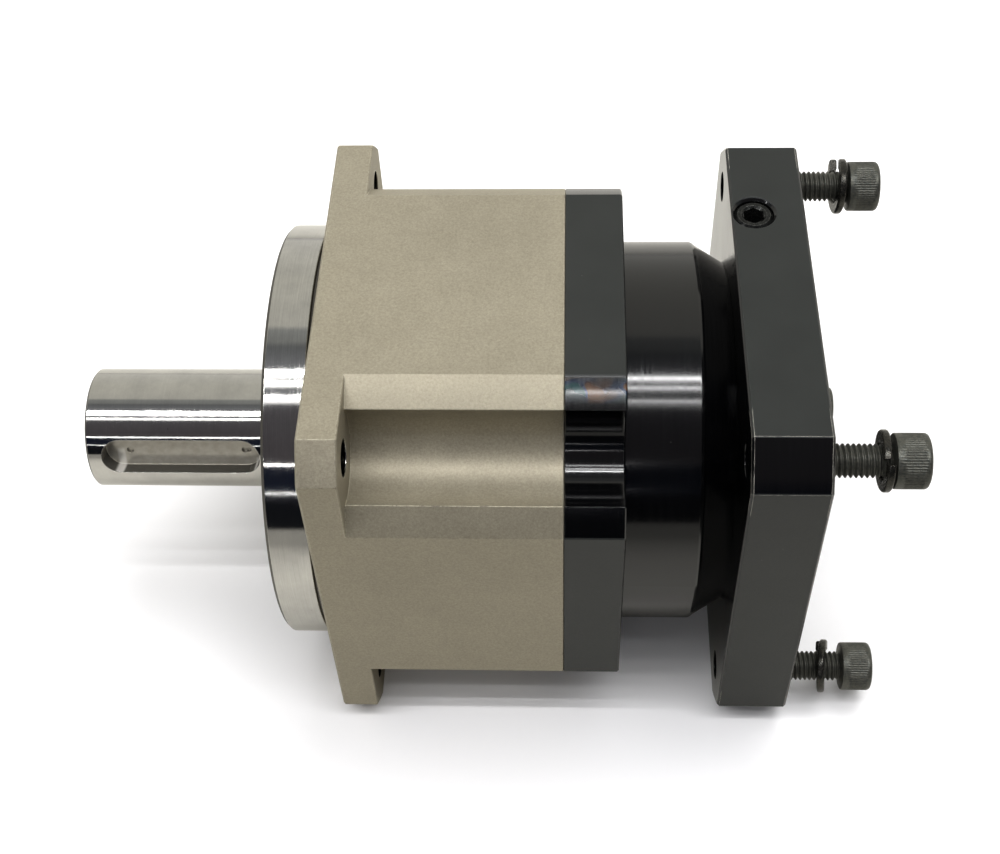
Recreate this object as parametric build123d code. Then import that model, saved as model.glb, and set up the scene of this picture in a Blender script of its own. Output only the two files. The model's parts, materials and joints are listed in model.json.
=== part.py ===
from build123d import *
import math
import os

# Inline planetary servo gearbox, 115 mm frame, single stage, ratio 3:1.
# Row frame: +X along the output shaft, pointing out of the gearbox, +Z up,
# origin on the shaft axis in the mounting face of the square flange.
# The motor side is at negative X. All lengths in millimetres.

# ---------------------------------------------------------------- dimensions
side = 115.0                 # square of flange, body, input plate and adapter
half = side / 2
flange_corner_r = 76.0       # flange corners are turned to this radius
body_corner_r = 65.0         # body corners are turned to this radius
adapter_corner_r = 75.0
flange_t = 9.5
bolt_pcd = 130.0             # both the flange holes and the motor screws
bolt_xy = bolt_pcd / 2 / math.sqrt(2)
flange_hole_r = 4.5
scoop_r = 11.2               # corner scoops that clear the flange bolts

pilot_r = 55.0
pilot_len = 12.0
x_body_end = -60.4           # end of the nickel plated body
x_plate_front = -60.42        # visible front of the black plate (thin joint line)
x_plate_back = -74.9
neck_r = 50.5
x_neck_end = -94.0
cone_end_r = 45.0
x_adapter_front = -102.0
x_adapter_back = -120.5

shaft_r = 16.0
x_shaft_end = 66.8
shaft_shoulder_x = 14.0
journal_r = 27.5             # bearing seat and seal land of the output shaft
key_w, key_d, key_l, key_off = 10.0, 5.0, 42.5, 4.0
key_angle = 20.0             # keyway opens this many degrees above +Y
shaft_tap_r, shaft_tap_len = 5.1, 28.0

# gear train
module = 1.5
z_sun, z_planet, z_ring = 30, 15, 60
pressure = math.radians(20.0)
centre = module * (z_sun + z_planet) / 2
tooth_thin = 0.16            # each tooth is thinned by this on the pitch circle
planet_w = 21.3
x_gear0, x_gear1 = -53.9, -32.6
n_planets = 3
planet_angles = [90.0, 210.0, 330.0]
pin_r = 4.5
needle_r = 0.95
needle_gap = 0.06
planet_bore_r = pin_r + 2 * needle_r + 2 * needle_gap
n_needles = 15

# carrier
carrier_r = 42.5
web_bore_r = 25.5
window_r = 13.9

# bearings: (x low, x high, bore r, outer r, ball r, pitch r, number of balls)
out_brg = (-22.0, -1.0, 27.5, 50.0, 7.14, 38.75, 10)
rear_brg = (-73.0, -63.0, 32.5, 42.5, 3.175, 37.5, 16)
in_brg = (-94.0, -78.0, 22.5, 37.5, 4.365, 30.0, 12)
ball_gap = 0.15

# input side
bore_r = 12.0                # clamp bore for the motor shaft
x_bore_bottom = -65.0
sleeve_r = 18.0
x_sleeve_end = -114.5
collar_r = 31.0
x_collar0, x_collar1 = -113.5, -102.0
clamp_y, clamp_x = -23.7, -107.75
motor_pilot_r, motor_pilot_d = 55.0, 5.0
adapter_bore_r = 33.0
adapter_screw_pcr = 39.5

# motor screws, M8 x 25 socket head cap screws, part way in
screw_r = 3.9
screw_len = 25.0
head_r, head_h = 6.45, 8.0
# (y, z, x of the head's outer end)
motor_screw_at = [
    (bolt_xy, bolt_xy, -142.95),
    (-bolt_xy, bolt_xy, -142.7),
    (bolt_xy, -bolt_xy, -143.85),
    (-bolt_xy, -bolt_xy, -143.1),
]
# loose spring lock washers, wound left hand:
# (screw index, x of the end nearer the head, split angle, lift, tilt, tilt axis angle)
washer_ir, washer_or, washer_t, washer_round = 4.25, 7.2, 1.9, 0.6
washer_at = [(0, -134.6, 50.0, 1.0, 0.0, 141.0), (1, -134.3, 137.0, 2.1, 0.0, 141.0),
             (2, -132.9, 165.0, 1.3, -13.0, 141.0), (3, -133.3, 300.0, 1.5, 6.0, 30.0)]


# ------------------------------------------------------------------- helpers
def cyl(r, x0, x1, y=0.0, z=0.0):
    return extrude(Plane.YZ.offset(x0) * (Pos(y, z) * Circle(r)), amount=x1 - x0)


def prism(pts, x0, x1):
    return extrude(Plane.YZ.offset(x0) * make_face(Polyline(*pts, close=True)), amount=x1 - x0)


def turn(pts):
    return revolve(make_face(Polyline(*pts, close=True)), axis=Axis.X, revolution_arc=360)


def polar(r, deg):
    return (r * math.cos(math.radians(deg)), r * math.sin(math.radians(deg)))


def around(shape, deg):
    return shape.rotate(Axis.X, deg)


def hexprism_x(af, x0, x1, y=0.0, z=0.0, turn_deg=0.0):
    rr = af / 2 / math.cos(math.pi / 6)
    pts = [(y + rr * math.cos(math.radians(turn_deg + 60 * i)),
            z + rr * math.sin(math.radians(turn_deg + 60 * i))) for i in range(6)]
    return prism(pts, x0, x1)


def one(shape):
    """the shape as a single solid"""
    sol = shape.solids()
    if len(sol) != 1:
        print("warning: %d solids where one was meant" % len(sol))
    return sol[0]


def group(shapes):
    sol = []
    for s in shapes:
        sol += list(s.solids())
    return Compound(sol)


def inv(a):
    return math.tan(a) - a


def tooth_points(z, r_in, r_out, widen, phase_deg, steps=5):
    """closed outline of z involute teeth between r_in and r_out.
    widen is added to the tooth thickness on the pitch circle."""
    rp = module * z / 2
    rb = rp * math.cos(pressure)

    def half_angle(r):
        ar = math.acos(min(1.0, rb / max(r, rb)))
        return math.pi / (2 * z) + inv(pressure) - inv(ar) + widen / (2 * rp)

    lo = max(r_in, rb)
    radii = [r_in] if r_in < rb - 1e-6 else []
    radii += [lo + (r_out - lo) * i / (steps - 1) for i in range(steps)]
    pts = []
    for k in range(z):
        th = math.radians(phase_deg) + 2 * math.pi * k / z
        for r in radii:
            a = th - half_angle(r)
            pts.append((r * math.cos(a), r * math.sin(a)))
        for r in reversed(radii):
            a = th + half_angle(r)
            pts.append((r * math.cos(a), r * math.sin(a)))
    return pts


def cap_screw(x_head_end, direction, y, z, r, length, hr, hh, af, chamfer_=0.6):
    """socket head cap screw along X. direction +1: the tip points to +X."""
    d = direction
    b = x_head_end + d * hh
    t = b + d * length
    pts = [(x_head_end, 0), (x_head_end, hr - chamfer_), (x_head_end + d * chamfer_, hr),
           (b - d * 0.15, hr), (b, hr - 0.3), (b, r), (t - d * 0.7, r), (t, r - 0.7), (t, 0)]
    s = turn(pts)
    sock0, sock1 = sorted([x_head_end, x_head_end + d * hh * 0.55])
    s = s - hexprism_x(af, sock0, sock1, 0, 0, 12.0)
    return Pos(0, y, z) * s


def bearing(spec):
    x0, x1, ri, ro, rb, rp, n = spec
    xm = (x0 + x1) / 2
    c = 0.5
    shoulder = 0.55 * rb
    groove = Pos(xm, rp) * Circle(rb + ball_gap)
    fi = make_face(Polyline((x0, ri + c), (x0 + c, ri), (x1 - c, ri), (x1, ri + c),
                            (x1, rp - shoulder), (x0, rp - shoulder), close=True)) - groove
    fo = make_face(Polyline((x0, rp + shoulder), (x0, ro - c), (x0 + c, ro), (x1 - c, ro),
                            (x1, ro - c), (x1, rp + shoulder), close=True)) - groove
    inner = revolve(fi, axis=Axis.X, revolution_arc=360)
    outer = revolve(fo, axis=Axis.X, revolution_arc=360)
    balls = [around(Pos(xm, rp, 0) * Sphere(rb), 360.0 * k / n) for k in range(n)]
    cw = rb * 2 + min(2.4, (x1 - x0) - 2 * rb - 1.2)
    ct = min(1.5, shoulder - 0.45)
    cage = cyl(rp + ct, xm - cw / 2, xm + cw / 2) - cyl(rp - ct, xm - cw / 2 - 1, xm + cw / 2 + 1)
    for k in range(n):
        pocket = Pos(xm, rp, 0) * Rot(90, 0, 0) * Cylinder(rb + 0.2, 4 * ct)
        cage = cage - around(pocket, 360.0 * k / n)
    return one(inner), one(outer), group(balls), one(cage)


def outline(corner_r, scoops):
    s = Rectangle(side, side) & Circle(corner_r)
    if scoops:
        for sy in (-1, 1):
            for sz in (-1, 1):
                s = s - Pos(sy * bolt_xy, sz * bolt_xy) * Circle(scoop_r)
    return s


def slab(corner_r, scoops, x0, x1):
    return extrude(Plane.YZ.offset(x0) * outline(corner_r, scoops), amount=x1 - x0)


parts = {}

# ------------------------------------------------------------------- housing
# One piece: mounting flange with the centring pilot, square body with corner
# scoops, and the ring gear teeth cut in its bore.
flange = slab(flange_corner_r, False, -flange_t, 0)
flange = chamfer(flange.faces().sort_by(Axis.X)[-1].edges(), 0.5)
flange = chamfer(flange.faces().sort_by(Axis.X)[0].edges(), 0.3)
body = slab(body_corner_r, True, x_body_end, -flange_t + 0.5)
body = chamfer(body.faces().sort_by(Axis.X)[0].edges(), 0.25)
pilot = turn([(-2, 0), (-2, pilot_r - 0.4), (0.1, pilot_r - 0.45), (1.1, pilot_r - 0.5), (1.5, pilot_r), (pilot_len - 0.75, pilot_r),
              (pilot_len, pilot_r - 0.75), (pilot_len, 0)])
# the relief at the foot of the pilot runs a little way into the flange face too
relief = turn([(-0.25, pilot_r - 0.4), (-0.25, pilot_r + 0.35), (0.5, pilot_r + 1.1), (0.5, pilot_r - 0.4)])
housing = (flange - relief) + body + pilot
for sy in (-1, 1):
    for sz in (-1, 1):
        housing = housing - cyl(flange_hole_r, -flange_t - 1, 1, sy * bolt_xy, sz * bolt_xy)
# front: seal bore, retaining ring groove, bearing bore, shoulder
housing = housing - turn([(-22.0, 0), (-22.0, 50.0), (-1.0, 50.0), (-1.0, 51.75), (2.0, 51.75), (2.0, 50.0),
                          (pilot_len - 0.8, 50.0), (pilot_len + 1, 51.8), (pilot_len + 1, 0)])
housing = housing - cyl(44.5, -32.0, -21.0)
housing = housing - turn([(x_body_end - 1, 0), (x_body_end - 1, 49.0), (x_body_end + 0.6, 48.0), (-54.5, 48.0), (-54.5, 0)])
ring_pts = tooth_points(z_ring, module * z_ring / 2 - module, module * z_ring / 2 + 1.25 * module,
                        tooth_thin, planet_angles[0])
housing = housing - prism(ring_pts, -55.0, -31.5)
# tapped holes for the input housing screws
ih_screw_at = [polar(57.0, 90.0 * q + a) for q in range(4) for a in (28.0, 62.0)]
for (y, z) in ih_screw_at:
    housing = housing - cyl(2.5, x_body_end - 1, -46.0, y, z)
parts["housing"] = one(housing)

# ------------------------------------------------------------- output carrier
# Output shaft and planet carrier in one piece. Three webs join its two discs.
blank = turn([(-31.5, 0), (-31.5, web_bore_r), (-75.9, web_bore_r), (-75.9, 32.2), (-75.6, 32.5), (-74.85, 32.5),
              (-74.85, 31.0), (-73.0, 31.0), (-73.0, 32.5), (-63.0, 32.5), (-63.0, 35.2), (-62.0, 35.2),
              (-62.0, carrier_r - 0.5), (-61.5, carrier_r), (-24.0, carrier_r), (-23.5, carrier_r - 0.5),
              (-23.5, 33.0), (-22.0, 33.0), (-22.0, journal_r), (shaft_shoulder_x - 1.0, journal_r),
              (shaft_shoulder_x, journal_r - 1.0), (shaft_shoulder_x, shaft_r), (x_shaft_end - 0.5, shaft_r),
              (x_shaft_end, shaft_r - 0.5), (x_shaft_end, 0)])
# the seam of the round faces is turned away from the keyway
carrier = around(blank, key_angle - 142.5)
for a in planet_angles:
    # the window stays open out to the rim and in to the bore
    w = (Circle(window_r) + Pos(15, 0) * Rectangle(30, 2 * window_r)) & (Circle(200) - Pos(-centre, 0) * Circle(10))
    win = extrude(Plane.YZ.offset(-55.0) * w, amount=23.5)
    carrier = carrier - Pos(0, *polar(centre, a)) * around(win, a)
for a in planet_angles:
    py, pz = polar(centre, a)
    carrier = carrier - cyl(pin_r, -62.4, -21.5, py, pz)
# keyway with round ends, no key fitted
kx0, kx1 = x_shaft_end - key_off - key_l, x_shaft_end - key_off
key = (Pos((kx0 + kx1) / 2, 0) * Rectangle(key_l - key_w, key_w)
       + Pos(kx0 + key_w / 2, 0) * Circle(key_w / 2) + Pos(kx1 - key_w / 2, 0) * Circle(key_w / 2))
# the sketch's x runs along the shaft and its y across the keyway
key_plane = Plane(origin=(0, 0, 0), x_dir=(1, 0, 0),
                  z_dir=(0, math.cos(math.radians(key_angle)), math.sin(math.radians(key_angle))))
slot_cut = extrude(key_plane.offset(shaft_r - key_d) * key, amount=key_d + 3)
carrier = carrier - slot_cut
for kx, kt, kr in ((56.3, 0.45, 0.9), (25.3, 0.35, 0.75), (24.1, 0.25, 0.6)):
    dimple = extrude(key_plane.offset(shaft_r - key_d - 0.7) * (Pos(kx, kt) * Circle(kr)), amount=1.5)
    carrier = carrier - dimple
# tapped centre hole in the shaft end
carrier = carrier - turn([(x_shaft_end - shaft_tap_len - 5.5, 0), (x_shaft_end - shaft_tap_len - 2.5, shaft_tap_r),
                          (x_shaft_end - 3.2, shaft_tap_r), (x_shaft_end - 3.2, 6.1), (x_shaft_end - 2.0, 6.1),
                          (x_shaft_end + 0.5, 7.6), (x_shaft_end + 0.5, 0)])
parts["output_carrier_shaft"] = one(carrier)

# ----------------------------------------------------------------- planet set
pins = [cyl(pin_r, -62.0, -24.0, *polar(centre, a)) for a in planet_angles]
parts["planet_pins"] = group(pins)

washers = []
for a in planet_angles:
    py, pz = polar(centre, a)
    for x0 in (-55.0, -32.5):
        washers.append(cyl(8.8, x0, x0 + 1.0, py, pz) - cyl(pin_r, x0 - 1, x0 + 2, py, pz))
parts["planet_thrust_washers"] = group(washers)

r_p = module * z_planet / 2
planet_pts = tooth_points(z_planet, r_p - 1.25 * module, r_p + 0.95 * module, -tooth_thin, 0.0)
for i, a in enumerate(planet_angles):
    py, pz = polar(centre, a)
    g = prism(planet_pts, x_gear0 + 0.1, x_gear1 - 0.1) - cyl(planet_bore_r, x_gear0 - 1, x_gear1 + 1)
    # a tooth points outwards, a gap faces the sun gear
    g = Pos(0, py, pz) * around(g, a)
    parts["planet_gear_%d" % (i + 1)] = one(g)
    rr = pin_r + needle_gap + needle_r
    rollers = []
    for k in range(n_needles):
        ny, nz = polar(rr, 360.0 * k / n_needles + a)
        rollers.append(cyl(needle_r, -52.9, -33.6, py + ny, pz + nz))
    parts["planet_needles_%d" % (i + 1)] = group(rollers)

# --------------------------------------------------------- sun gear / input shaft
r_s = module * z_sun / 2
sun_pts = tooth_points(z_sun, r_s - 1.25 * module, r_s + 0.95 * module, -tooth_thin, planet_angles[0])
sun = prism(sun_pts, x_gear0, x_gear1)
stem = turn([(-53.0, 0), (-53.0, 20.0), (-76.3, 20.0), (-76.3, 24.8), (-78.0, 24.8), (-78.0, 22.5), (-94.0, 22.5),
             (-94.0, 21.2), (-95.85, 21.2), (-95.85, 22.5), (-101.2, 22.5), (-101.7, 22.0), (-101.7, sleeve_r),
             (x_sleeve_end + 0.5, sleeve_r), (x_sleeve_end, sleeve_r - 0.5), (x_sleeve_end, 0)])
sun = sun + stem
sun = sun - turn([(x_bore_bottom, 0), (x_bore_bottom, bore_r), (x_sleeve_end + 0.8, bore_r), (x_sleeve_end - 0.5, bore_r + 1.3),
                  (x_sleeve_end - 0.5, 0)])
for k in range(2):
    slit = Pos((x_sleeve_end - 1 - 102.6) / 2, 0, 0) * Box(-102.6 - x_sleeve_end + 1.0, 60, 2.0)
    sun = sun - around(slit, 90.0 * k)
parts["sun_gear_input_shaft"] = one(sun)

# clamp collar: split on the -Y side, screw across the split, head up
collar = turn([(x_collar0, sleeve_r), (x_collar0, collar_r - 0.8), (x_collar0 + 0.8, collar_r), (x_collar1 - 0.8, collar_r),
               (x_collar1, collar_r - 0.8), (x_collar1, sleeve_r)])
collar = collar - Pos(clamp_x, -25, 0) * Box(20, 20, 2.0)
collar = collar - Pos(clamp_x, clamp_y, 5.0 + 15) * Cylinder(5.4, 30)
collar = collar - Pos(clamp_x, clamp_y, 2.0) * Cylinder(3.0, 34.0)
# balance flat opposite the screw
collar = collar - Pos(clamp_x, 36.0, 0) * Box(20, 14, 30)
parts["clamp_collar"] = one(collar)
cs = Pos(clamp_x, clamp_y, 8.0) * Cylinder(5.0, 6.0)
cs = cs + Pos(clamp_x, clamp_y, -3.5) * Cylinder(2.95, 19.0)
cs = cs - Pos(clamp_x, clamp_y, 9.5) * extrude(RegularPolygon(2.5 / math.cos(math.pi / 6), 6), amount=3)
parts["clamp_screw"] = one(cs)

# ------------------------------------------------------------------- bearings
for name, spec in (("output_bearing", out_brg), ("rear_bearing", rear_brg), ("input_bearing", in_brg)):
    bi, bo, bb, bc = bearing(spec)
    parts[name + "_inner"] = bi
    parts[name + "_outer"] = bo
    parts[name + "_balls"] = bb
    parts[name + "_cage"] = bc

# ---------------------------------------------------------------- seals, rings
# output seal: outer band, web and a lip that runs on the shaft journal
parts["output_seal"] = one(turn([(2.5, 50.0), (2.5, 47.5), (8.0, 47.0), (8.0, 31.5), (4.0, 31.0), (3.4, 29.6), (4.6, 27.62),
                                 (5.4, 27.62), (7.2, 28.8), (9.0, 28.6), (10.2, 27.62), (10.8, 27.62), (10.9, 30.5),
                                 (10.2, 32.0), (10.2, 44.5), (11.5, 46.0), (11.5, 49.6), (11.1, 50.0)]))


def snap_ring(r0, r1, x0, x1, gap_deg, mid_deg, lugs_at):
    s = cyl(r1, x0, x1) - cyl(r0, x0 - 1, x1 + 1)
    a0, a1 = mid_deg - gap_deg / 2, mid_deg + gap_deg / 2
    w = [(0, 0), polar(3 * r1, a0), polar(3 * r1, a1)]
    s = s - prism(w, x0 - 1, x1 + 1)
    for a in (a0 - 3.5, a1 + 3.5):
        s = s - cyl(0.9, x0 - 1, x1 + 1, *polar(lugs_at, a))
    return s


parts["output_bearing_circlip"] = one(snap_ring(46.2, 51.7, -0.95, 1.95, 16.0, 270.0, 48.2))
parts["rear_bearing_snap_ring"] = one(snap_ring(31.05, 35.0, -74.8, -73.05, 14.0, 0.0, 33.2))
parts["input_bearing_circlip"] = one(snap_ring(34.2, 39.2, -77.95, -75.55, 16.0, 180.0, 36.0))
parts["input_bearing_snap_ring"] = one(snap_ring(21.25, 25.0, -95.8, -94.05, 16.0, 60.0, 23.2))
parts["input_seal"] = one(turn([(-96.6, 31.0), (-101.6, 31.0), (-101.6, 29.0), (-98.4, 28.4), (-98.4, 25.2), (-101.2, 24.8),
                                (-101.4, 23.6), (-100.6, 22.62), (-99.8, 22.62), (-97.6, 24.0), (-96.6, 24.2)]))
# squeezed section of the sealing ring in the spigot groove
parts["housing_o_ring"] = one(turn([(-57.9, 46.75), (-57.9, 47.7), (-58.2, 47.97), (-59.3, 47.97), (-59.6, 47.7),
                                    (-59.6, 46.75), (-59.3, 46.45), (-58.2, 46.45)]))

# --------------------------------------------------------------- input housing
# Black plate, round neck and cone in one piece, with a spigot into the body.
plate = slab(body_corner_r, True, x_plate_back, x_plate_front)
plate = chamfer(plate.faces().sort_by(Axis.X)[-1].edges(), 0.2)
plate = chamfer(plate.faces().sort_by(Axis.X)[0].edges(), 0.4)
neck = turn([(x_plate_back + 1, 0), (x_plate_back + 1, neck_r), (x_neck_end + 0.9, neck_r), (x_neck_end + 0.25, neck_r - 0.25),
             (x_neck_end - 0.3, neck_r - 0.75), (x_adapter_front, cone_end_r), (x_adapter_front, 0)])
spigot = turn([(x_plate_front - 1, 0), (x_plate_front - 1, 52.0), (x_body_end, 52.0), (x_body_end, 48.0), (-59.9, 47.95),
               (-59.9, 46.4), (-57.6, 46.4), (-57.6, 47.95), (-57.0, 47.95), (-56.5, 47.45), (-56.5, 0)])
ih = plate + neck + spigot
ih = ih - turn([(-55.0, 0), (-55.0, 44.0), (-63.0, 44.0), (-63.0, 42.5), (-73.0, 42.5), (-73.0, 37.5), (-75.5, 37.5),
                (-75.5, 39.25), (-78.0, 39.25), (-78.0, 37.5), (-94.0, 37.5), (-94.0, 31.0), (-103.0, 31.0), (-103.0, 0)])
for (y, z) in ih_screw_at:
    ih = ih - cyl(2.75, x_plate_back - 1, -60.0, y, z)
    ih = ih - cyl(4.6, x_plate_back - 1, x_plate_back + 5.4, y, z)
for k in range(4):
    y, z = polar(adapter_screw_pcr, 90.0 * k)
    ih = ih - cyl(3.0, -103.0, -94.7, y, z)
parts["input_housing"] = one(ih)
parts["input_housing_screws"] = group([cap_screw(x_plate_back + 0.2, 1, y, z, 2.5, 20.0, 4.25, 5.0, 4.0, 0.4)
                                       for (y, z) in ih_screw_at])

# --------------------------------------------------------------- motor adapter
ad = slab(adapter_corner_r, False, x_adapter_back, x_adapter_front)
ad = chamfer(ad.faces().sort_by(Axis.X)[-1].edges(), 0.6)
ad = chamfer(ad.faces().sort_by(Axis.X)[0].edges(), 0.6)
ad = ad - cyl(adapter_bore_r, x_adapter_back - 1, x_adapter_front + 1)
ad = ad - cyl(motor_pilot_r, x_adapter_back - 1, x_adapter_back + motor_pilot_d)
ad = ad - turn([(x_adapter_back - 1, 0), (x_adapter_back - 1, motor_pilot_r + 1.8), (x_adapter_back + 0.8, motor_pilot_r),
                (x_adapter_back + 0.8, 0)])
for sy in (-1, 1):
    for sz in (-1, 1):
        ad = ad - cyl(4.0, x_adapter_back - 1, x_adapter_front + 1, sy * bolt_xy, sz * bolt_xy)
for k in range(4):
    y, z = polar(adapter_screw_pcr, 90.0 * k)
    ad = ad - cyl(3.3, -116.5, -101.0, y, z)
    ad = ad - cyl(5.3, x_adapter_back - 1, x_adapter_back + motor_pilot_d + 6.6, y, z)
# access hole for the clamp screw, tapped M10 for the plug, with a countersunk mouth
plug_r = 4.95
ad = ad - Pos(clamp_x, clamp_y, 40.0) * Cylinder(5.0, 40.0)
ad = ad - Pos(clamp_x, clamp_y, half - 0.35) * Cone(5.0, 5.85, 0.85)
parts["adapter_plate"] = one(ad)
parts["adapter_screws"] = group([cap_screw(x_adapter_back + motor_pilot_d + 0.3, 1, *polar(adapter_screw_pcr, 90.0 * k),
                                           3.0, 14.0, 5.0, 6.0, 5.0, 0.5) for k in range(4)])
# socket set screw plug
plug_top, plug_len = half - 0.6, 10.0
pl = Pos(clamp_x, clamp_y, plug_top - plug_len / 2) * Cylinder(plug_r, plug_len)
pl = chamfer(pl.edges().group_by(Axis.Z)[-1], 0.85)
pl = pl - Pos(clamp_x, clamp_y, plug_top - 5.5) * Rot(0, 0, 30) * extrude(RegularPolygon(2.5 / math.cos(math.pi / 6), 6), amount=8)
pl = pl - Pos(clamp_x, clamp_y, plug_top - 0.2) * Cone(2.6, 3.35, 0.62)
parts["access_plug"] = one(pl)

# ---------------------------------------------------------------- motor screws
ms = [cap_screw(xe, 1, y, z, screw_r, screw_len, head_r, head_h, 6.0, 0.8) for (y, z, xe) in motor_screw_at]
parts["motor_screws"] = group(ms)

for i, (k, x_out, split, lift, tilt, tilt_at) in enumerate(washer_at):
    y, z, xe = motor_screw_at[k]
    rm, w = (washer_ir + washer_or) / 2, washer_or - washer_ir
    turn_frac = 348.0 / 360.0
    path = Helix(pitch=lift / turn_frac, height=lift, radius=rm, lefthand=True)
    sec = Plane(origin=path @ 0, x_dir=(1, 0, 0), z_dir=path % 0) * RectangleRounded(w, washer_t, washer_round)
    ring = sweep(sec, path=path, is_frenet=True)
    ring = Pos(0, 0, -lift / 2) * ring.rotate(Axis.Z, -6.0)
    # washer axis onto X, split turned to its angle
    ring = ring.rotate(Axis.Y, 90.0)
    ring = ring.rotate(Axis.X, 90.0 + split)
    ring = ring.rotate(Axis.X, -tilt_at).rotate(Axis.Y, tilt).rotate(Axis.X, tilt_at)
    bb = ring.bounding_box()
    ring = Pos(x_out - bb.min.X, y, z) * ring
    parts["lock_washer_%d" % (i + 1)] = one(ring)
    bb = ring.bounding_box()
    print("washer", i + 1, "x", round(bb.min.X, 3), round(bb.max.X, 3), "head face", round(xe + head_h, 3))

# --------------------------------------------------------------------- export
os.makedirs("parts", exist_ok=True)
for name, shape in parts.items():
    export_step(shape, "parts/%s.step" % name)
    print(name, round(shape.volume, 1), len(shape.solids()), shape.is_valid)
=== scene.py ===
import bpy, bmesh, json, math
from mathutils import Vector, Matrix


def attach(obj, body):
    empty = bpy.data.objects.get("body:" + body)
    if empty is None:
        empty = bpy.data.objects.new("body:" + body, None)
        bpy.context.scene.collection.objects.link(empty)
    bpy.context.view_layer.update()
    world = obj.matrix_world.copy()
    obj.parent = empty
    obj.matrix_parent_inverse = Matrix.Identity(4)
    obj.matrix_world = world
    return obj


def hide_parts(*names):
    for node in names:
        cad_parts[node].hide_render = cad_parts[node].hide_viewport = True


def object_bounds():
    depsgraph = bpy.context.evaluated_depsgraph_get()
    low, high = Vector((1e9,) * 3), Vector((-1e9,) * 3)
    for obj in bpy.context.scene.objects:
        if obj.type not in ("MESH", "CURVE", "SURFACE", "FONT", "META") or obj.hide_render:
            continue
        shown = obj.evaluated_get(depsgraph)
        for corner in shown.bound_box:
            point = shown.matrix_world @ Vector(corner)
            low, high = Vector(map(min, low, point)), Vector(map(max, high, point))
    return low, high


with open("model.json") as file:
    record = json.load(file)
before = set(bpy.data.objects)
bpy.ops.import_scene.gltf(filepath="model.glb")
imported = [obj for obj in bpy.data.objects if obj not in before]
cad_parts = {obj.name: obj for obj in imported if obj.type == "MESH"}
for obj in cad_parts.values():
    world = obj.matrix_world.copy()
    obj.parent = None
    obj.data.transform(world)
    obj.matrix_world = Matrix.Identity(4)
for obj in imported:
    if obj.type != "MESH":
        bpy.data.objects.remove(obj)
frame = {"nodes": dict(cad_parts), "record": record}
cad_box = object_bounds()
nodes = frame["nodes"]
MM = 0.001


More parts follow.
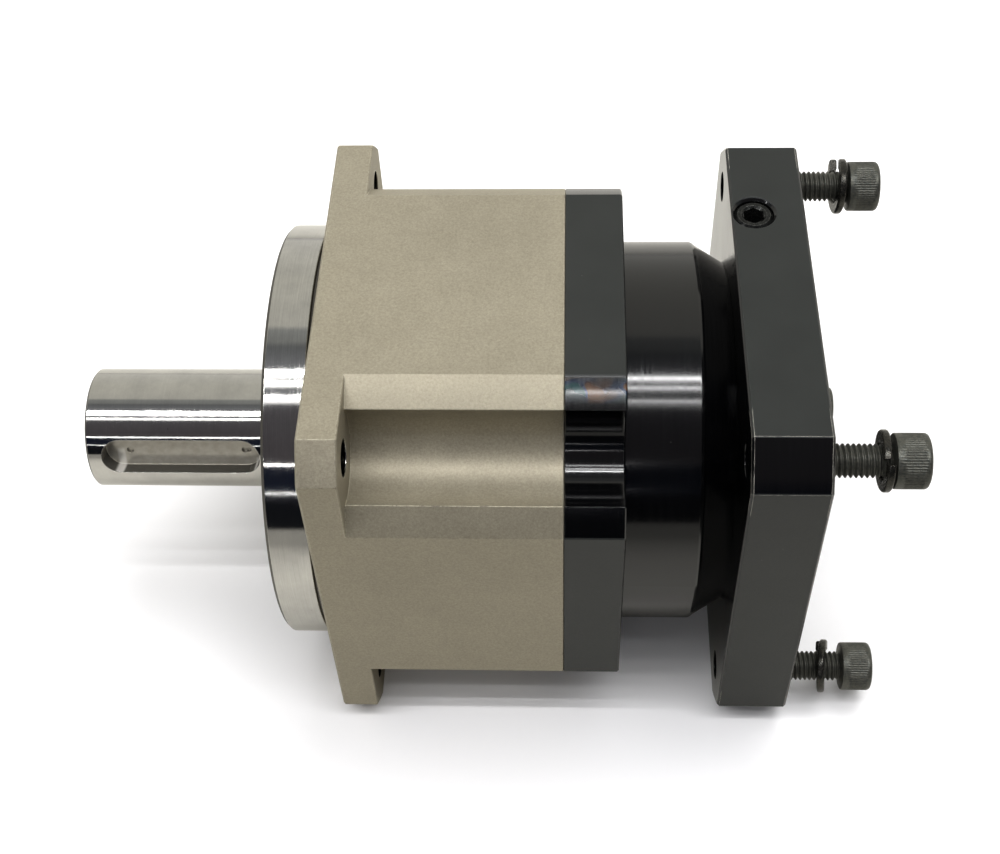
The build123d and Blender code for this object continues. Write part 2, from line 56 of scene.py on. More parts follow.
# ------------------------------------------------------------------ node help
class Mat:
    """small helper round a material's node tree"""

    def __init__(self, name):
        self.m = bpy.data.materials.new(name)
        self.m.use_nodes = True
        self.t = self.m.node_tree
        self.t.nodes.clear()
        self.out = self.t.nodes.new("ShaderNodeOutputMaterial")
        self.b = self.t.nodes.new("ShaderNodeBsdfPrincipled")
        self.t.links.new(self.b.outputs[0], self.out.inputs[0])
        tc = self.t.nodes.new("ShaderNodeTexCoord")
        sc = self.t.nodes.new("ShaderNodeVectorMath")
        sc.operation = "SCALE"
        sc.inputs["Scale"].default_value = 1000.0
        self.t.links.new(tc.outputs["Object"], sc.inputs[0])
        self.mm = sc.outputs[0]          # object coordinates in millimetres
        s = self.t.nodes.new("ShaderNodeSeparateXYZ")
        self.t.links.new(self.mm, s.inputs[0])
        self.x, self.y, self.z = s.outputs[0], s.outputs[1], s.outputs[2]

    def put(self, sock, v):
        if hasattr(v, "is_output"):
            self.t.links.new(v, sock)
        elif isinstance(v, (tuple, list)) and sock.type == "RGBA":
            sock.default_value = (v[0], v[1], v[2], 1.0)
        else:
            sock.default_value = v

    def math(self, op, a, b=None, c=None, clamp=False):
        n = self.t.nodes.new("ShaderNodeMath")
        n.operation = op
        n.use_clamp = clamp
        for i, v in enumerate((a, b, c)):
            if v is not None:
                self.put(n.inputs[i], v)
        return n.outputs[0]

    def step(self, v, lo, hi):
        """0 below lo, 1 above hi, smooth between"""
        n = self.t.nodes.new("ShaderNodeMapRange")
        n.interpolation_type = "SMOOTHSTEP"
        self.put(n.inputs["Value"], v)
        n.inputs["From Min"].default_value = lo
        n.inputs["From Max"].default_value = hi
        return n.outputs["Result"]

    def ramp(self, v, a, b, lo=0.0, hi=1.0):
        n = self.t.nodes.new("ShaderNodeMapRange")
        self.put(n.inputs["Value"], v)
        n.inputs["From Min"].default_value = lo
        n.inputs["From Max"].default_value = hi
        n.inputs["To Min"].default_value = a
        n.inputs["To Max"].default_value = b
        return n.outputs["Result"]

    def stretch(self, sx, sy, sz, at=None):
        n = self.t.nodes.new("ShaderNodeVectorMath")
        n.operation = "MULTIPLY"
        self.t.links.new(at or self.mm, n.inputs[0])
        n.inputs[1].default_value = (sx, sy, sz)
        return n.outputs[0]

    def noise(self, scale, detail=2.0, rough=0.5, at=None, dist=0.0):
        n = self.t.nodes.new("ShaderNodeTexNoise")
        self.t.links.new(at or self.mm, n.inputs["Vector"])
        n.inputs["Scale"].default_value = scale
        n.inputs["Detail"].default_value = detail
        n.inputs["Roughness"].default_value = rough
        n.inputs["Distortion"].default_value = dist
        return n.outputs["Fac"]

    def voronoi(self, scale, at=None, feature="F1"):
        n = self.t.nodes.new("ShaderNodeTexVoronoi")
        n.feature = feature
        self.t.links.new(at or self.mm, n.inputs["Vector"])
        n.inputs["Scale"].default_value = scale
        return n.outputs["Distance"]

    def mix(self, fac, a, b):
        n = self.t.nodes.new("ShaderNodeMix")
        n.data_type = "RGBA"
        self.put(n.inputs[0], fac)
        self.put(n.inputs[6], a)
        self.put(n.inputs[7], b)
        return n.outputs[2]

    def mixf(self, fac, a, b):
        n = self.t.nodes.new("ShaderNodeMix")
        n.data_type = "FLOAT"
        self.put(n.inputs[0], fac)
        self.put(n.inputs[2], a)
        self.put(n.inputs[3], b)
        return n.outputs[0]

    def tint(self, col, f):
        """colour times a grey factor"""
        n = self.t.nodes.new("ShaderNodeVectorMath")
        n.operation = "SCALE"
        self.put(n.inputs[0], col)
        self.put(n.inputs["Scale"], f)
        return n.outputs[0]

    def bump(self, height, strength, dist_mm, normal=None):
        n = self.t.nodes.new("ShaderNodeBump")
        n.inputs["Distance"].default_value = dist_mm * MM
        self.put(n.inputs["Strength"], strength)
        self.put(n.inputs["Height"], height)
        if normal is not None:
            self.t.links.new(normal, n.inputs["Normal"])
        return n.outputs[0]

    def edge(self, r_mm, samples=4):
        """1 on sharp edges within r_mm, 0 on open surfaces"""
        bv = self.t.nodes.new("ShaderNodeBevel")
        bv.samples = samples
        bv.inputs["Radius"].default_value = r_mm * MM
        g = self.t.nodes.new("ShaderNodeNewGeometry")
        d = self.t.nodes.new("ShaderNodeVectorMath")
        d.operation = "DOT_PRODUCT"
        self.t.links.new(bv.outputs[0], d.inputs[0])
        self.t.links.new(g.outputs["Normal"], d.inputs[1])
        return self.ramp(d.outputs["Value"], 1.0, 0.0, 0.86, 0.995), bv.outputs[0]

    def set(self, **kw):
        names = {"color": "Base Color", "metallic": "Metallic", "rough": "Roughness", "normal": "Normal",
                 "spec": "Specular IOR Level", "ior": "IOR", "aniso": "Anisotropic", "coat": "Coat Weight",
                 "coat_rough": "Coat Roughness", "sheen": "Sheen Weight"}
        for k, v in kw.items():
            self.put(self.b.inputs[names[k]], v)
        return self.m


def radius_yz(m):
    return m.math("SQRT", m.math("ADD", m.math("MULTIPLY", m.y, m.y), m.math("MULTIPLY", m.z, m.z)))


def max_yz(m):
    return m.math("MAXIMUM", m.math("ABSOLUTE", m.y), m.math("ABSOLUTE", m.z))


def hole_dist(m, at):
    """distance from the nearest of four axes at (+-at, +-at), in mm"""
    dy = m.math("SUBTRACT", m.math("ABSOLUTE", m.y), at)
    dz = m.math("SUBTRACT", m.math("ABSOLUTE", m.z), at)
    return m.math("SQRT", m.math("ADD", m.math("MULTIPLY", dy, dy), m.math("MULTIPLY", dz, dz)))


BOLT = 130 / 2 / math.sqrt(2)


def ground(m, base=(0.60, 0.592, 0.565), rough=0.06, brush=0.5):
    """colour, roughness and height of ground steel with marks round the axis"""
    marks = m.noise(1.0, 4.0, 0.65, m.stretch(7.0, 0.10, 0.10))
    broad = m.noise(1.0, 2.0, 0.5, m.stretch(1.3, 0.05, 0.05))
    stain = m.noise(0.11, 4.0, 0.65)
    fleck = m.voronoi(0.33)
    col = m.mix(m.ramp(stain, 0.0, 1.0, 0.35, 0.7), base, (base[0] * 0.84, base[1] * 0.84, base[2] * 0.85))
    col = m.tint(col, m.ramp(marks, 1.0 - 0.10 * brush, 1.0 + 0.08 * brush, 0.3, 0.7))
    dot = m.math("MULTIPLY", m.math("SUBTRACT", 1.0, m.step(fleck, 0.03, 0.06), clamp=True), m.step(stain, 0.54, 0.58))
    col = m.mix(m.math("MULTIPLY", dot, 0.7), col, (0.16, 0.15, 0.13))
    r = m.math("ADD", m.ramp(marks, rough - 0.025, rough + 0.04, 0.3, 0.7), m.ramp(stain, -0.01, 0.035, 0.4, 0.7))
    h = m.math("ADD", marks, m.math("MULTIPLY", broad, 0.6))
    return col, r, h


# ------------------------------------------------------------------ materials
def make_nickel():
    m = Mat("nickel_blasted_housing")
    cloud = m.noise(0.045, 3.0, 0.55, dist=0.4)
    cloud2 = m.noise(0.16, 4.0, 0.6)
    speck = m.noise(1.7, 3.0, 0.75)
    grain = m.noise(4.0, 2.0, 0.7)
    base = m.mix(m.ramp(cloud, 0.0, 1.0, 0.3, 0.7), (0.392, 0.358, 0.281), (0.355, 0.324, 0.254))
    base = m.mix(m.ramp(cloud2, 0.0, 0.5, 0.45, 0.75), base, (0.415, 0.382, 0.303))
    base = m.tint(base, m.ramp(speck, 0.84, 1.14, 0.3, 0.7))
    base = m.tint(base, m.ramp(grain, 0.93, 1.06, 0.3, 0.7))
    pits = m.voronoi(0.42)
    pit = m.math("MULTIPLY", m.math("SUBTRACT", 1.0, m.step(pits, 0.035, 0.07), clamp=True), m.step(cloud2, 0.56, 0.62))
    base = m.mix(m.math("MULTIPLY", pit, 0.5), base, (0.12, 0.105, 0.08))
    e, bn = m.edge(0.40, 6)
    wear = m.math("MULTIPLY", e, m.ramp(m.noise(0.9, 3.0, 0.6), 0.10, 0.85, 0.35, 0.6), clamp=True)
    base = m.mix(wear, base, (0.72, 0.68, 0.55))
    nick = m.math("MULTIPLY", e, m.step(m.noise(0.55, 3.0, 0.7), 0.575, 0.62), clamp=True)
    base = m.mix(m.math("MULTIPLY", nick, 0.85), base, (0.10, 0.09, 0.075))
    rough = m.math("ADD", m.ramp(cloud2, 0.46, 0.53, 0.3, 0.7), m.ramp(speck, -0.04, 0.05, 0.3, 0.7))
    hgt = m.math("ADD", m.math("MULTIPLY", grain, 0.5), m.math("MULTIPLY", speck, 0.8))
    # ground areas: the pilot, the bores and the bolt holes
    gc, gr, gh = ground(m, rough=0.055, brush=1.0)
    r = radius_yz(m)
    pil = m.step(m.x, 0.05, 0.12)
    bore = m.math("SUBTRACT", 1.0, m.step(r, 52.4, 52.5), clamp=True)
    hole = m.math("SUBTRACT", 1.0, m.step(hole_dist(m, BOLT), 4.58, 4.66), clamp=True)
    in_flange = m.step(m.x, -9.6, -9.45)
    hole = m.math("MULTIPLY", hole, in_flange)
    g = m.math("MAXIMUM", m.math("MAXIMUM", pil, bore), hole, clamp=True)
    # painted shade: the undercut ring between the pilot and the flange face is painted dark
    undercut_painted_shade = m.math("MULTIPLY", m.math("MULTIPLY", m.step(m.x, -0.5, 0.0), m.math("SUBTRACT", 1.0, m.step(m.x, 1.25, 1.45), clamp=True)),
                      m.step(r, 54.0, 54.3))
    undercut_painted_shade = m.math("MULTIPLY", undercut_painted_shade, m.math("SUBTRACT", 1.0, m.step(r, 55.5, 55.9), clamp=True))
    col = m.mix(g, base, gc)
    col = m.mix(m.math("MULTIPLY", undercut_painted_shade, 0.85), col, (0.05, 0.045, 0.04))
    # the small chamfer at the pilot's front rim is painted dark: painted shade in place of the dark reflection it shows
    rim = m.math("MULTIPLY", m.step(m.x, 11.2, 11.3), m.step(r, 54.1, 54.2))
    col = m.mix(m.math("MULTIPLY", rim, 0.85), col, (0.07, 0.065, 0.055))
    gr = m.mixf(rim, gr, 0.45)
    n1 = m.bump(m.mixf(g, hgt, gh), m.mixf(g, 0.50, 0.07), 0.07, bn)
    return m.set(color=col, metallic=m.mixf(g, 0.55, 1.0), rough=m.mixf(g, rough, gr), normal=n1)


def make_ground():
    m = Mat("ground_shaft_steel")
    c, r, h = ground(m, brush=0.35)
    e, bn = m.edge(0.22, 4)
    c = m.mix(m.math("MULTIPLY", e, 0.35), c, (0.72, 0.71, 0.69))
    # the keyway is milled: greyer, with an oily bloom
    rr = radius_yz(m)
    inside = m.math("SUBTRACT", 1.0, m.step(rr, 15.88, 15.95), clamp=True)
    span = m.math("MULTIPLY", m.step(m.x, 19.8, 20.0), m.math("SUBTRACT", 1.0, m.step(m.x, 63.2, 63.4), clamp=True))
    out = m.math("ADD", m.math("MULTIPLY", m.y, math.cos(math.radians(20))), m.math("MULTIPLY", m.z, math.sin(math.radians(20))))
    key = m.math("MULTIPLY", m.math("MULTIPLY", inside, span), m.step(out, 9.5, 10.0))
    bloom = m.noise(0.5, 3.0, 0.55)
    keyway_colour_and_painted_light = m.mix(m.ramp(bloom, 0.0, 1.0, 0.35, 0.7), (0.68, 0.65, 0.575), (0.58, 0.55, 0.48))
    # painted shade: the keyway's side wall is painted dark
    keyway_wall_painted_shade = m.step(out, 11.08, 11.3)
    keyway_colour_and_painted_light = m.mix(m.math("MULTIPLY", keyway_wall_painted_shade, 0.92), keyway_colour_and_painted_light, (0.075, 0.072, 0.062))
    # painted highlights: two bright patches painted on the keyway, near both ends
    across = m.math("ADD", m.math("MULTIPLY", m.y, -math.sin(math.radians(20))), m.math("MULTIPLY", m.z, math.cos(math.radians(20))))
    low1 = m.math("SUBTRACT", 1.0, m.step(across, -0.8, 0.6), clamp=True)
    low2 = m.math("SUBTRACT", 1.0, m.step(across, -3.6, -2.2), clamp=True)
    end1 = m.math("MULTIPLY", m.step(m.x, 57.4, 58.2), m.math("SUBTRACT", 1.0, m.step(m.x, 59.4, 60.2), clamp=True))
    end2 = m.math("MULTIPLY", m.step(m.x, 21.2, 21.7), m.math("SUBTRACT", 1.0, m.step(m.x, 22.1, 22.6), clamp=True))
    keyway_end_painted_highlight = m.math("MAXIMUM", m.math("MULTIPLY", end1, low1), m.math("MULTIPLY", end2, low2))
    keyway_colour_and_painted_light = m.mix(m.math("MULTIPLY", keyway_end_painted_highlight, 0.75), keyway_colour_and_painted_light, (0.95, 0.93, 0.88))
    c = m.mix(key, c, keyway_colour_and_painted_light)
    r = m.mixf(key, r, m.ramp(bloom, 0.17, 0.25, 0.3, 0.7))
    # painted shade: the chamfer at the shaft's end is painted dark, in place of the dark reflection it shows
    tip = m.math("MULTIPLY", m.step(m.x, 66.28, 66.34), m.step(rr, 15.45, 15.52))
    c = m.mix(m.math("MULTIPLY", tip, 0.85), c, (0.07, 0.066, 0.058))
    r = m.mixf(tip, r, 0.4)
    return m.set(color=c, metallic=m.mixf(key, 1.0, 0.5), rough=r, normal=m.bump(h, 0.05, 0.05, bn))


def black_parts(m, flat_mask, turned_rough=0.10):
    """black finish: satin on milled flats, glossy where turned"""
    fine = m.noise(3.0, 3.0, 0.65)
    cloud = m.noise(0.07, 3.0, 0.5)
    rings = m.noise(1.0, 3.0, 0.6, m.stretch(6.0, 0.06, 0.06))
    flat = m.mix(m.ramp(cloud, 0.0, 1.0, 0.3, 0.7), (0.0088, 0.0114, 0.0110), (0.0130, 0.0158, 0.0150))
    flat = m.tint(flat, m.ramp(fine, 0.80, 1.20, 0.3, 0.7))
    turned = m.mix(m.ramp(rings, 0.0, 1.0, 0.35, 0.65), (0.0012, 0.0013, 0.0016), (0.0028, 0.0029, 0.0034))
    col = m.mix(flat_mask, turned, flat)
    dust = m.voronoi(0.30)
    d = m.math("MULTIPLY", m.math("SUBTRACT", 1.0, m.step(dust, 0.02, 0.04), clamp=True), m.step(cloud, 0.54, 0.6))
    col = m.mix(m.math("MULTIPLY", d, 0.35), col, (0.30, 0.30, 0.28))
    e, bn = m.edge(0.30, 6)
    wear = m.math("MULTIPLY", e, m.ramp(m.noise(0.6, 3.0, 0.6), 0.0, 0.40, 0.4, 0.7), clamp=True)
    col = m.mix(wear, col, (0.16, 0.165, 0.16))
    rough = m.mixf(flat_mask, m.ramp(rings, turned_rough - 0.03, turned_rough + 0.05, 0.3, 0.7), m.ramp(fine, 0.44, 0.54, 0.3, 0.7))
    h = m.mixf(flat_mask, rings, fine)
    n = m.bump(h, m.mixf(flat_mask, 0.05, 0.25), 0.05, bn)
    return col, rough, n


def make_input_housing():
    m = Mat("black_input_housing")
    flat = m.math("MULTIPLY", m.step(max_yz(m), 57.2, 57.35), 1.0)
    col, rough, n = black_parts(m, flat, 0.09)
    # painted reflection: on the turned corner faces of the plate, the colours that their finer grooves split from the
    # light are painted in as a rainbow sheen near one angle
    r = radius_yz(m)
    corner = m.step(r, 64.6, 64.75)
    ang = m.math("DEGREES", m.math("ARCTAN2", m.z, m.y))
    away = m.math("ABSOLUTE", m.math("SUBTRACT", ang, 59.0))
    rainbow_painted_sheen = m.math("MULTIPLY", corner, m.ramp(away, 1.0, 0.0, 0.3, 2.8))
    rainbow_painted_sheen = m.math("MULTIPLY", rainbow_painted_sheen, m.ramp(m.noise(0.13, 2.0, 0.5), 0.15, 1.0, 0.38, 0.62))
    hue = m.noise(0.16, 1.0, 0.5)
    rainbow_sheen_colour = m.mix(m.step(hue, 0.44, 0.50), (0.17, 0.075, 0.025), (0.035, 0.075, 0.16))
    rainbow_sheen_colour = m.mix(m.step(hue, 0.53, 0.60), rainbow_sheen_colour, (0.02, 0.12, 0.13))
    col = m.mix(m.math("MULTIPLY", rainbow_painted_sheen, 0.75), col, rainbow_sheen_colour)
    # the neck is turned a little coarser than the plate
    on_neck = m.math("MULTIPLY", m.math("SUBTRACT", 1.0, m.step(m.x, -75.4, -75.0), clamp=True), m.math("SUBTRACT", 1.0, m.step(r, 60.0, 60.3), clamp=True))
    rough = m.math("ADD", rough, m.math("MULTIPLY", on_neck, 0.02))
    return m.set(color=col, metallic=0.0, rough=rough, normal=n, spec=0.85)


def make_adapter():
    m = Mat("black_adapter_plate")
    flat = m.step(max_yz(m), 57.2, 57.35)
    col, rough, n = black_parts(m, flat, 0.10)
    # painted highlight: bright lines painted along the edges of the cut corners
    e, bn = m.edge(0.28, 6)
    both = m.math("ADD", m.math("ABSOLUTE", m.y), m.math("ABSOLUTE", m.z))
    edge_painted_highlight = m.math("MULTIPLY", e, m.step(both, 97.0, 98.5), clamp=True)
    edge_painted_highlight = m.math("MULTIPLY", edge_painted_highlight, m.ramp(m.noise(0.35, 3.0, 0.6), 0.35, 1.0, 0.38, 0.5), clamp=True)
    col = m.mix(edge_painted_highlight, col, (0.75, 0.72, 0.64))
    return m.set(color=col, metallic=0.0, rough=rough, normal=n, spec=0.8)


def make_plug():
    m = Mat("black_access_plug")
    a = m.noise(1.2, 3.0, 0.6)
    c = m.mix(m.ramp(a, 0.0, 1.0, 0.35, 0.7), (0.010, 0.011, 0.011), (0.035, 0.036, 0.034))
    e, bn = m.edge(0.22, 4)
    c = m.mix(m.math("MULTIPLY", e, 0.6), c, (0.28, 0.28, 0.26))
    return m.set(color=c, metallic=0.55, rough=m.ramp(a, 0.18, 0.30, 0.3, 0.7), normal=m.bump(a, 0.12, 0.03, bn))


def make_oxide(name="black_oxide_screws", base=(0.085, 0.089, 0.081), rough=0.40, metal=0.65):
    m = Mat(name)
    a = m.noise(1.4, 3.0, 0.6)
    f = m.noise(9.0, 2.0, 0.6)
    c = m.mix(m.ramp(a, 0.0, 1.0, 0.35, 0.7), base, (base[0] * 1.7, base[1] * 1.6, base[2] * 1.5))
    e, bn = m.edge(0.18, 4)
    w = m.math("MULTIPLY", e, m.ramp(m.noise(2.5, 2.0, 0.6), 0.1, 0.8, 0.35, 0.65), clamp=True)
    c = m.mix(w, c, (0.30, 0.28, 0.25))
    r = m.ramp(a, rough - 0.07, rough + 0.09, 0.3, 0.7)
    return m.set(color=c, metallic=metal, rough=r, normal=m.bump(f, 0.18, 0.03, bn))


def make_bright(name, base=(0.62, 0.62, 0.61), rough=0.2):
    m = Mat(name)
    c, r, h = ground(m, base, rough)
    return m.set(color=c, metallic=1.0, rough=r, normal=m.bump(h, 0.08, 0.03))


def make_rubber():
    m = Mat("black_seal_rubber")
    f = m.noise(3.0, 3.0, 0.6)
    c = m.mix(m.ramp(f, 0.0, 1.0, 0.3, 0.7), (0.013, 0.013, 0.013), (0.026, 0.025, 0.024))
    return m.set(color=c, metallic=0.0, rough=m.ramp(f, 0.45, 0.6, 0.3, 0.7), normal=m.bump(f, 0.12, 0.05), spec=0.4)


mats = {
    "nickel_plated_steel": make_nickel(),
    "ground_steel": make_ground(),
    "black_oxide": make_oxide(),
    "spring_steel": make_oxide("blackened_spring_steel", (0.050, 0.050, 0.046), 0.26, 0.85),
    "collar_steel": make_bright("turned_collar_steel", (0.42, 0.42, 0.42), 0.28),
    "gear_steel": make_bright("ground_gear_steel", (0.5, 0.5, 0.5), 0.22),
    "bearing_steel": make_bright("polished_bearing_steel", (0.66, 0.66, 0.66), 0.1),
    "pressed_cage": make_bright("pressed_cage_steel", (0.5, 0.49, 0.46), 0.35),
    "black_rubber": make_rubber(),
}
black_house, black_adapter, plug = make_input_housing(), make_adapter(), make_plug()
slot_of = {s["node"]: s["material_slot"] for s in frame["record"]["subparts"]}
for n, o in nodes.items():
    mat = {"input_housing": black_house, "adapter_plate": black_adapter, "access_plug": plug}.get(n) or mats[slot_of[n]]
    for i in range(len(o.material_slots)):
        o.material_slots[i].material = mat

# --------------------------------------------------------------------- screws
PITCH = 1.25


def lathe_x(bm, rows, n, y0, z0, rfun=None):
    """rings of n points round an X axis through (y0, z0). rows are (x, r) in mm."""
    out = []
    for k, (x, r) in enumerate(rows):
        ring = []
        for i in range(n):
            a = 2 * math.pi * i / n
            rr = r if rfun is None else rfun(k, i, r)
            ring.append(bm.verts.new(((x) * MM, (y0 + rr * math.cos(a)) * MM, (z0 + rr * math.sin(a)) * MM)))
        out.append(ring)
    for a, b in zip(out, out[1:]):
        for i in range(n):
            j = (i + 1) % n
            bm.faces.new((a[i], a[j], b[j], b[i]))
    return out


def cap_screw_mesh(bm, xe, y0, z0, tip_len=25.0, hr=6.45, hh=8.0, af=6.0, spin=0.0):
    """M8 socket head cap screw: knurled head with its end at x = xe, threaded shank towards +X"""
    teeth, per = 60, 4
    n = teeth * per
    # head, from the socket rim outwards, over the knurl and back to the shank
    prof = [(xe + 0.0, hr - 1.25), (xe + 0.06, hr - 0.75), (xe + 0.28, hr - 0.32), (xe + 0.62, hr - 0.08), (xe + 1.0, hr),
            (xe + 1.35, hr), (xe + 1.75, hr), (xe + hh - 2.2, hr), (xe + hh - 1.75, hr), (xe + hh - 0.4, hr - 0.02),
            (xe + hh - 0.12, hr - 0.12), (xe + hh, hr - 0.4), (xe + hh, 4.6), (xe + hh + 0.25, 4.15), (xe + hh + 0.5, 3.3)]
    cut = {5: 0.35, 6: 1.0, 7: 1.0, 8: 0.35}
    wave = (0.0, -0.07, -0.20, -0.07)

    def rf(k, i, r):
        return r + wave[i % per] * cut.get(k, 0.0)

    rings = lathe_x(bm, prof, n, y0, z0, rf)
    # the end face runs in to a hexagon, then the socket goes down
    rr = af / 2 / math.cos(math.pi / 6)

    def hexr(a, c):
        a = (a - spin) % (math.pi / 3)
        return c / math.cos(a - math.pi / 6)

    def hexring(x, c):
        return [bm.verts.new((x * MM, (y0 + hexr(2 * math.pi * i / n, c) * math.cos(2 * math.pi * i / n)) * MM,
                              (z0 + hexr(2 * math.pi * i / n, c) * math.sin(2 * math.pi * i / n)) * MM)) for i in range(n)]
    c = af / 2
    chain = [hexring(xe + 0.0, c + 0.35), hexring(xe + 0.3, c), hexring(xe + 4.2, c)]
    cone = [bm.verts.new(((xe + 4.2) * MM, (y0 + (c * 0.9) * math.cos(2 * math.pi * i / n)) * MM,
                          (z0 + (c * 0.9) * math.sin(2 * math.pi * i / n)) * MM)) for i in range(n)]
    chain.append(cone)
    prev = rings[0]
    for ring in chain:
        for i in range(n):
            j = (i + 1) % n
            bm.faces.new((prev[j], prev[i], ring[i], ring[j]))
        prev = ring
    tip = bm.verts.new(((xe + 5.4) * MM, y0 * MM, z0 * MM))
    for i in range(n):
        bm.faces.new((prev[(i + 1) % n], prev[i], tip))
    # close the head towards the shank
    hub = bm.verts.new(((xe + hh + 0.5) * MM, y0 * MM, z0 * MM))
    last = rings[-1]
    for i in range(n):
        bm.faces.new((last[i], last[(i + 1) % n], hub))
    # thread, one helical strip whose turns join edge to edge
    x0, x1 = xe + hh + 0.1, xe + hh + tip_len
    rmin, rmaj, steps = 3.28, 3.95, 40
    form = [(0.0, 0.0), (0.10, 0.0), (0.46, 1.0), (0.60, 1.0)]      # share of the pitch, share of the depth
    m = len(form)
    turns = int((x1 - x0) / PITCH) + 3
    grid = []
    for q in range(-1, turns + 1):
        for fx, fr in form:
            row = []
            for i in range(steps):
                x = x0 + PITCH * (q + i / steps + fx)
                d = fr * min(1.0, max(0.0, (x1 - 0.25 - x) / 1.3)) * min(1.0, max(0.0, (x - x0 - 0.1) / 0.8))
                x = min(max(x, x0), x1)
                r = rmin + (rmaj - rmin) * d
                if x >= x1:
                    r = rmin - 0.35
                a = 2 * math.pi * i / steps
                row.append(bm.verts.new((x * MM, (y0 + r * math.cos(a)) * MM, (z0 + r * math.sin(a)) * MM)))
            grid.append(row)
    strip = []
    for q in range(len(grid) - 1):
        for i in range(steps):
            if i + 1 < steps:
                vs = (grid[q][i], grid[q][i + 1], grid[q + 1][i + 1], grid[q + 1][i])
            else:
                if q + 1 + m >= len(grid):
                    continue
                vs = (grid[q][i], grid[q + m][0], grid[q + 1 + m][0], grid[q + 1][i])
            strip.append(bm.faces.new(vs))


def finish_mesh(name, bm, mat, angle=35.0, merge=1e-6):
    bmesh.ops.remove_doubles(bm, verts=bm.verts, dist=merge)
    bmesh.ops.dissolve_degenerate(bm, edges=bm.edges, dist=merge)
    # close the small round ends that are left open
    ends = [e for e in bm.edges if e.is_boundary]
    if ends:
        bmesh.ops.holes_fill(bm, edges=ends, sides=0)
    bmesh.ops.recalc_face_normals(bm, faces=bm.faces)
    me = bpy.data.meshes.new(name)
    bm.to_mesh(me)
    bm.free()
    me.materials.append(mat)
    o = bpy.data.objects.new(name, me)
    bpy.context.scene.collection.objects.link(o)
    me.polygons.foreach_set("use_smooth", [True] * len(me.polygons))
    me.set_sharp_from_angle(angle=math.radians(angle))
    return o


screw_at = [(BOLT, BOLT, -142.95, 0.2), (-BOLT, BOLT, -142.7, 0.7), (BOLT, -BOLT, -143.85, 0.45), (-BOLT, -BOLT, -143.1, 0.95)]
for k, (y, z, xe, spin) in enumerate(screw_at):
    bm = bmesh.new()
    cap_screw_mesh(bm, xe, y, z, spin=spin)
    o = finish_mesh("motor_screw_detail_%d" % (k + 1), bm, mats["black_oxide"])
    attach(o, "gearbox_body")
    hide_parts("motor_screws")

# ---------------------------------------------------------------------- floor
fm = Mat("pale_floor")
fl = fm.noise(0.01, 2.0, 0.5)
lpf = fm.t.nodes.new("ShaderNodeLightPath")
seen = fm.mix(fm.ramp(fl, 0.0, 1.0, 0.3, 0.7), (0.845, 0.84, 0.85), (0.86, 0.855, 0.862))
fm.b.inputs["Emission Color"].default_value = (1.0, 1.0, 1.0, 1)
glow = fm.math("MULTIPLY", lpf.outputs["Is Camera Ray"], 0.02)
fm.t.links.new(glow, fm.b.inputs["Emission Strength"])
near = fm.tint((0.60, 0.585, 0.545), fm.ramp(fm.y, 1.0, 0.50, 150.0, 320.0))
fm.set(color=fm.mix(lpf.outputs["Is Camera Ray"], near, seen), rough=0.7, spec=0.1)
low = cad_box[0][2]
bm = bmesh.new()
xs, ys = (-2.6, 2.6), (-2.6, 0.85)
vs = [bm.verts.new((x, y, low)) for x, y in ((xs[0], ys[0]), (xs[1], ys[0]), (xs[1], ys[1]), (xs[0], ys[1]))]
bm.faces.new(vs)
me = bpy.data.meshes.new("floor")
bm.to_mesh(me)
bm.free()
me.materials.append(fm.m)
floor = bpy.data.objects.new("floor", me)
bpy.context.scene.collection.objects.link(floor)

# --------------------------------------------------------------------- lights
scene = bpy.context.scene
world = bpy.data.worlds.new("studio")
scene.world = world
world.use_nodes = True
wt = world.node_tree
wt.nodes.clear()
wo = wt.nodes.new("ShaderNodeOutputWorld")
bg = wt.nodes.new("ShaderNodeBackground")
tc = wt.nodes.new("ShaderNodeTexCoord")
sp = wt.nodes.new("ShaderNodeSeparateXYZ")
wt.links.new(tc.outputs["Generated"], sp.inputs[0])
at = wt.nodes.new("ShaderNodeMath")
at.operation = "ARCTAN2"
wt.links.new(sp.outputs[2], at.inputs[0])
wt.links.new(sp.outputs[1], at.inputs[1])
# -180..180 degrees to 0..1
mr = wt.nodes.new("ShaderNodeMapRange")
mr.inputs["From Min"].default_value = -math.pi
mr.inputs["From Max"].default_value = math.pi
wt.links.new(at.outputs[0], mr.inputs["Value"])
cr = wt.nodes.new("ShaderNodeValToRGB")
wt.links.new(mr.outputs["Result"], cr.inputs[0])


def deg(a):
    return (a + 180.0) / 360.0


stops = [(-179, (0.55, 0.54, 0.52)), (-100, (0.30, 0.30, 0.30)), (-20, (0.08, 0.08, 0.09)), (-8, (0.012, 0.013, 0.015)),
         (12, (0.010, 0.011, 0.015)), (14, (0.014, 0.018, 0.032)), (29, (0.012, 0.016, 0.030)), (32, (0.085, 0.078, 0.084)),
         (60, (0.110, 0.105, 0.114)), (63, (0.13, 0.13, 0.14)), (69, (0.22, 0.225, 0.24)), (76, (0.30, 0.31, 0.32)), (84, (0.22, 0.225, 0.24)),
         (96, (0.16, 0.165, 0.17)), (98, (0.25, 0.255, 0.25)), (106, (0.30, 0.305, 0.30)), (108, (0.52, 0.51, 0.47)), (140, (0.56, 0.55, 0.50)),
         (179, (0.62, 0.61, 0.57))]
el = cr.color_ramp.elements
while len(el) > 1:
    el.remove(el[-1])
el[0].position = deg(stops[0][0])
el[0].color = (*stops[0][1], 1)
for a, c in stops[1:]:
    e = el.new(deg(a))
    e.color = (*c, 1)
lp = wt.nodes.new("ShaderNodeLightPath")
mx = wt.nodes.new("ShaderNodeMix")
mx.data_type = "RGBA"
wt.links.new(lp.outputs["Is Camera Ray"], mx.inputs[0])
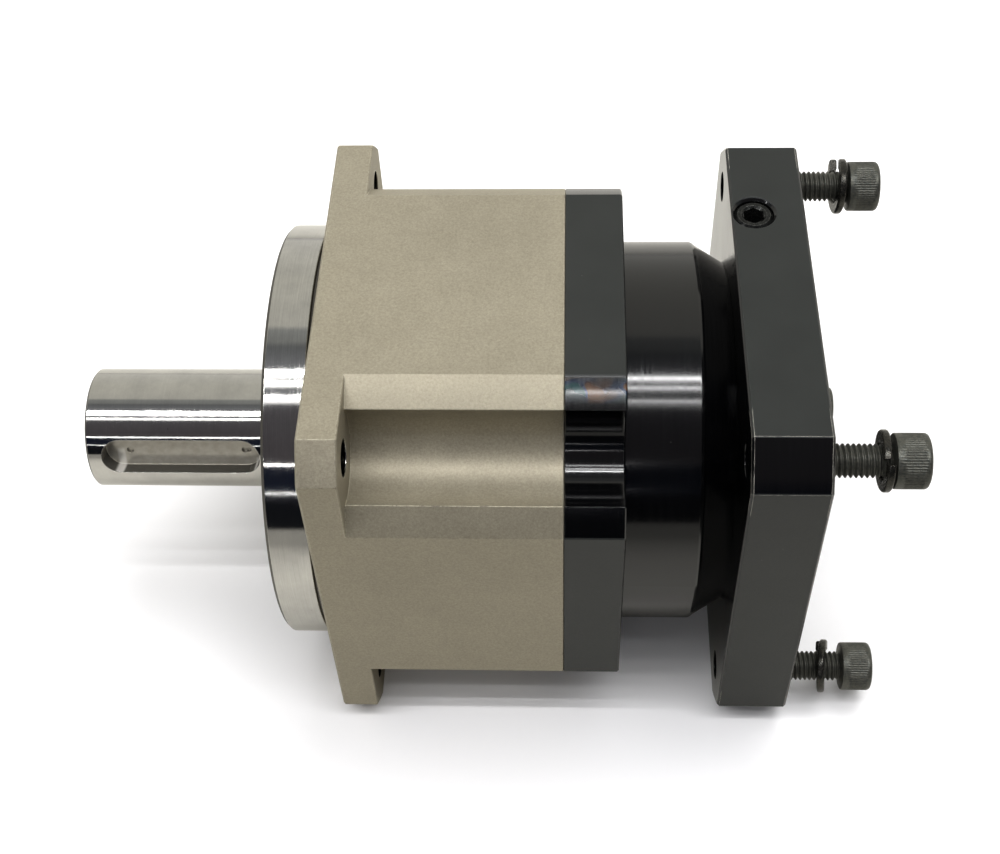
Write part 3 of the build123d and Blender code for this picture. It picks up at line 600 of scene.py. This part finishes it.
# matt surfaces get a little even light as well
ad = wt.nodes.new("ShaderNodeMix")
ad.data_type = "RGBA"
ad.blend_type = "ADD"
wt.links.new(lp.outputs["Is Diffuse Ray"], ad.inputs[0])
wt.links.new(cr.outputs[0], ad.inputs[6])
ad.inputs[7].default_value = (0.09, 0.09, 0.088, 1)
wt.links.new(ad.outputs[2], mx.inputs[6])
mx.inputs[7].default_value = (1.0, 1.0, 1.0, 1)
wt.links.new(mx.outputs[2], bg.inputs[0])
dm = wt.nodes.new("ShaderNodeMapRange")
dm.inputs["To Min"].default_value = 1.0
dm.inputs["To Max"].default_value = 1.0
wt.links.new(lp.outputs["Is Diffuse Ray"], dm.inputs["Value"])
wt.links.new(dm.outputs["Result"], bg.inputs[1])
wt.links.new(bg.outputs[0], wo.inputs[0])


def strip(name, e0, e1, radiance, dist=4.0, x0=-3.0, x1=4.0, col=(1, 1, 1)):
    """a long ceiling light parallel to X, between two elevations seen from the object"""
    em = math.radians((e0 + e1) / 2)
    w = 2 * dist * math.tan(math.radians((e1 - e0) / 2))
    ld = bpy.data.lights.new(name, "AREA")
    ld.shape = "RECTANGLE"
    ld.size = x1 - x0
    ld.size_y = w
    ld.energy = radiance * math.pi * (x1 - x0) * w
    ld.color = col
    o = bpy.data.objects.new(name, ld)
    pos = Vector(((x0 + x1) / 2, dist * math.cos(em), dist * math.sin(em)))
    back = Vector((0, math.cos(em), math.sin(em)))
    right = Vector((1, 0, 0))
    up = back.cross(right)
    o.matrix_world = Matrix(((right.x, up.x, back.x, pos.x), (right.y, up.y, back.y, pos.y),
                             (right.z, up.z, back.z, pos.z), (0, 0, 0, 1)))
    scene.collection.objects.link(o)
    return o


strip("ceiling_strip_a", 64.0, 67.7, 1.35)
strip("ceiling_strip_b", 72.7, 75.5, 1.35)
strip("ceiling_strip_c", 77.5, 82.2, 1.35)
strip("strip_core_a", 66.9, 67.8, 12.0, dist=3.9)
strip("strip_core_b", 74.6, 75.6, 17.0, dist=3.9)
strip("strip_core_c", 79.9, 81.6, 20.0, dist=3.9)
strip("far_strip_a", 30.9, 31.6, 8.0, x0=-0.18)
strip("far_strip_b", 15.4, 15.8, 7.0, x0=-0.18)

# a wide soft light overhead and a little behind, for matt surfaces only
ld = bpy.data.lights.new("soft_overhead", "AREA")
ld.shape = "RECTANGLE"
ld.size, ld.size_y = 1.2, 0.8
ld.energy = 14.5
so = bpy.data.objects.new("soft_overhead", ld)
so.matrix_world = Matrix.Translation(Vector((-0.35, -0.45, 1.8))) @ Vector((-0.18, -0.22, 0.96)).to_track_quat("Z", "Y").to_matrix().to_4x4()
so.visible_glossy = False
scene.collection.objects.link(so)

# --------------------------------------------------------------------- camera
cam = bpy.data.cameras.new("camera")
cam.sensor_width = 36.0
cam.sensor_fit = "HORIZONTAL"
cam.lens = 54.965
cam.clip_start = 0.01
cam.clip_end = 50
co = bpy.data.objects.new("camera", cam)
right = Vector((-0.99903558, -0.03081711, -0.03127643))
up = Vector((0.00432772, -0.77796028, 0.62829855))
back = Vector((-0.04369417, 0.62755725, 0.77734337))
pos = Vector((-0.060987, 0.260545, 0.323441))
co.matrix_world = Matrix(((right.x, up.x, back.x, pos.x), (right.y, up.y, back.y, pos.y),
                          (right.z, up.z, back.z, pos.z), (0, 0, 0, 1)))
scene.collection.objects.link(co)
scene.camera = co
scene.view_settings.view_transform = "Standard"
scene.view_settings.look = "None"
scene.view_settings.exposure = 0.42
scene.view_settings.gamma = 0.86
